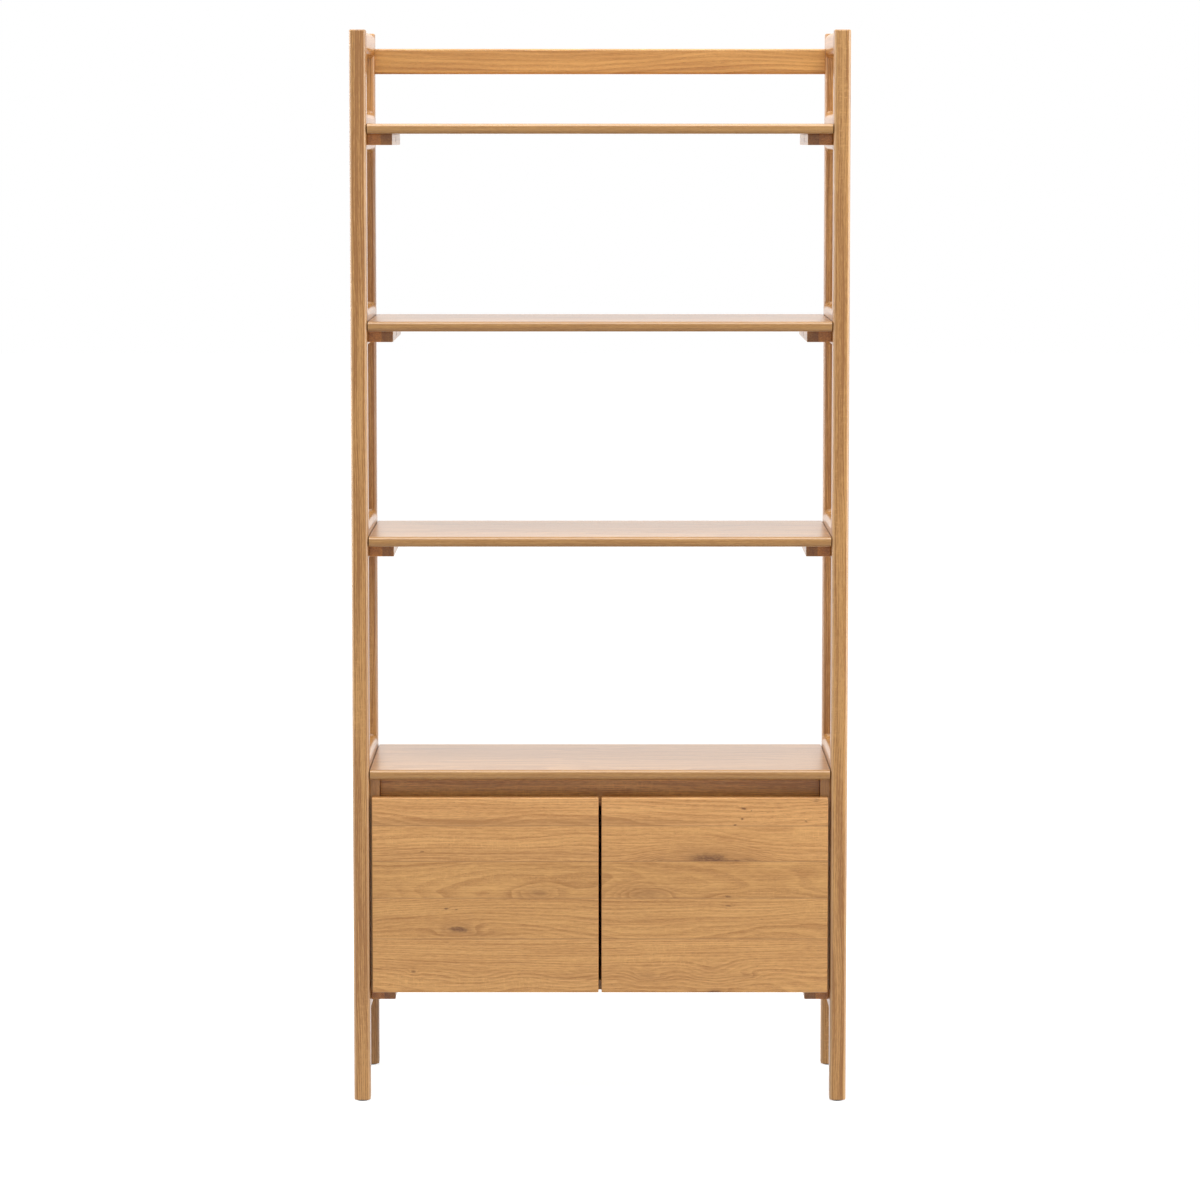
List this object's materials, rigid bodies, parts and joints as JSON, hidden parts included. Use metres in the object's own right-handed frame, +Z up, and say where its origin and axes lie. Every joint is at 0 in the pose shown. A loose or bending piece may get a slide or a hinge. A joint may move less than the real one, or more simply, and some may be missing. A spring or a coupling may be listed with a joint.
{
  "type": "open-shelf unit",
  "caption": "Tall open-shelf unit in oak with ladder sides, shelves on battens, and a low two-door cupboard with a finger gap above its doors.",
  "frame": {"origin": "on the floor, under the middle of the unit", "axes": "+Z up, +X to the right seen from the front, +Y from the front to the rear"},
  "size_m": [0.9, 0.38, 1.95],
  "materials": {
    "oak_frame": "oak, clear matt lacquer, grain along each post and rail",
    "oak_shelf": "oak, clear matt lacquer, grain across the unit",
    "oak_door": "glued oak staves, clear matt lacquer, horizontal grain with knots",
    "oak_batten": "oak, clear matt lacquer, end grain at the front",
    "oak_carcass": "oak, clear matt lacquer",
    "hinge_nickel": "nickel-plated steel",
    "bolt_steel": "zinc-plated steel",
    "glide_plastic": "matt black plastic"
  },
  "bodies": {
    "shelf_frame": {"cupboard_back": "oak_carcass", "cupboard_floor": "oak_carcass", "cupboard_left_side": "oak_carcass", "cupboard_right_side": "oak_carcass", "cupboard_top": "oak_shelf", "finger_rail": "oak_carcass", "left_base_batten": "oak_batten", "left_base_bolt": "bolt_steel", "left_base_rail": "oak_frame", "left_cupboard_top_rail": "oak_frame", "left_front_glide": "glide_plastic", "left_front_post": "oak_frame", "left_lower_batten": "oak_batten", "left_lower_bolt": "bolt_steel", "left_lower_hinge_arm": "hinge_nickel", "left_lower_rail": "oak_frame", "left_middle_batten": "oak_batten", "left_middle_bolt": "bolt_steel", "left_middle_rail": "oak_frame", "left_rear_glide": "glide_plastic", "left_rear_post": "oak_frame", "left_top_rail": "oak_frame", "left_upper_batten": "oak_batten", "left_upper_bolt": "bolt_steel", "left_upper_hinge_arm": "hinge_nickel", "left_upper_rail": "oak_frame", "lower_shelf": "oak_shelf", "middle_shelf": "oak_shelf", "rear_cross_rail": "oak_frame", "right_base_batten": "oak_batten", "right_base_bolt": "bolt_steel", "right_base_rail": "oak_frame", "right_cupboard_top_rail": "oak_frame", "right_front_glide": "glide_plastic", "right_front_post": "oak_frame", "right_lower_batten": "oak_batten", "right_lower_bolt": "bolt_steel", "right_lower_hinge_arm": "hinge_nickel", "right_lower_rail": "oak_frame", "right_middle_batten": "oak_batten", "right_middle_bolt": "bolt_steel", "right_middle_rail": "oak_frame", "right_rear_glide": "glide_plastic", "right_rear_post": "oak_frame", "right_top_rail": "oak_frame", "right_upper_batten": "oak_batten", "right_upper_bolt": "bolt_steel", "right_upper_hinge_arm": "hinge_nickel", "right_upper_rail": "oak_frame", "upper_shelf": "oak_shelf"},
    "left_door_leaf": {"left_door": "oak_door", "left_upper_hinge_cup": "hinge_nickel", "left_lower_hinge_cup": "hinge_nickel"},
    "left_upper_link": {"left_upper_hinge_link": "hinge_nickel"},
    "left_lower_link": {"left_lower_hinge_link": "hinge_nickel"},
    "right_door_leaf": {"right_door": "oak_door", "right_upper_hinge_cup": "hinge_nickel", "right_lower_hinge_cup": "hinge_nickel"},
    "right_upper_link": {"right_upper_hinge_link": "hinge_nickel"},
    "right_lower_link": {"right_lower_hinge_link": "hinge_nickel"}
  },
  "joints": [
    {"name": "left_door_swing", "type": "hinge", "parent": "shelf_frame", "child": "left_door_leaf", "pos_m": [-0.4085, -0.1835, 0.38195], "axis": [0, 0, -1], "range_deg": [0, 100]},
    {"name": "left_upper_link_turn", "type": "hinge", "parent": "shelf_frame", "child": "left_upper_link", "pos_m": [-0.3861, -0.166, 0.4865], "axis": [0, 0, 1], "range_deg": [0, 46]},
    {"name": "left_lower_link_turn", "type": "hinge", "parent": "shelf_frame", "child": "left_lower_link", "pos_m": [-0.3861, -0.166, 0.2774], "axis": [0, 0, 1], "range_deg": [0, 46]},
    {"name": "right_door_swing", "type": "hinge", "parent": "shelf_frame", "child": "right_door_leaf", "pos_m": [0.4085, -0.1835, 0.38195], "axis": [0, 0, 1], "range_deg": [0, 100]},
    {"name": "right_upper_link_turn", "type": "hinge", "parent": "shelf_frame", "child": "right_upper_link", "pos_m": [0.3861, -0.166, 0.4865], "axis": [0, 0, -1], "range_deg": [0, 46]},
    {"name": "right_lower_link_turn", "type": "hinge", "parent": "shelf_frame", "child": "right_lower_link", "pos_m": [0.3861, -0.166, 0.2774], "axis": [0, 0, -1], "range_deg": [0, 46]}
  ],
  "couplings": [
    {"joint": "left_upper_link_turn", "follows": "left_door_swing", "ratio": 0.456},
    {"joint": "left_lower_link_turn", "follows": "left_door_swing", "ratio": 0.456},
    {"joint": "right_upper_link_turn", "follows": "right_door_swing", "ratio": 0.456},
    {"joint": "right_lower_link_turn", "follows": "right_door_swing", "ratio": 0.456}
  ]
}
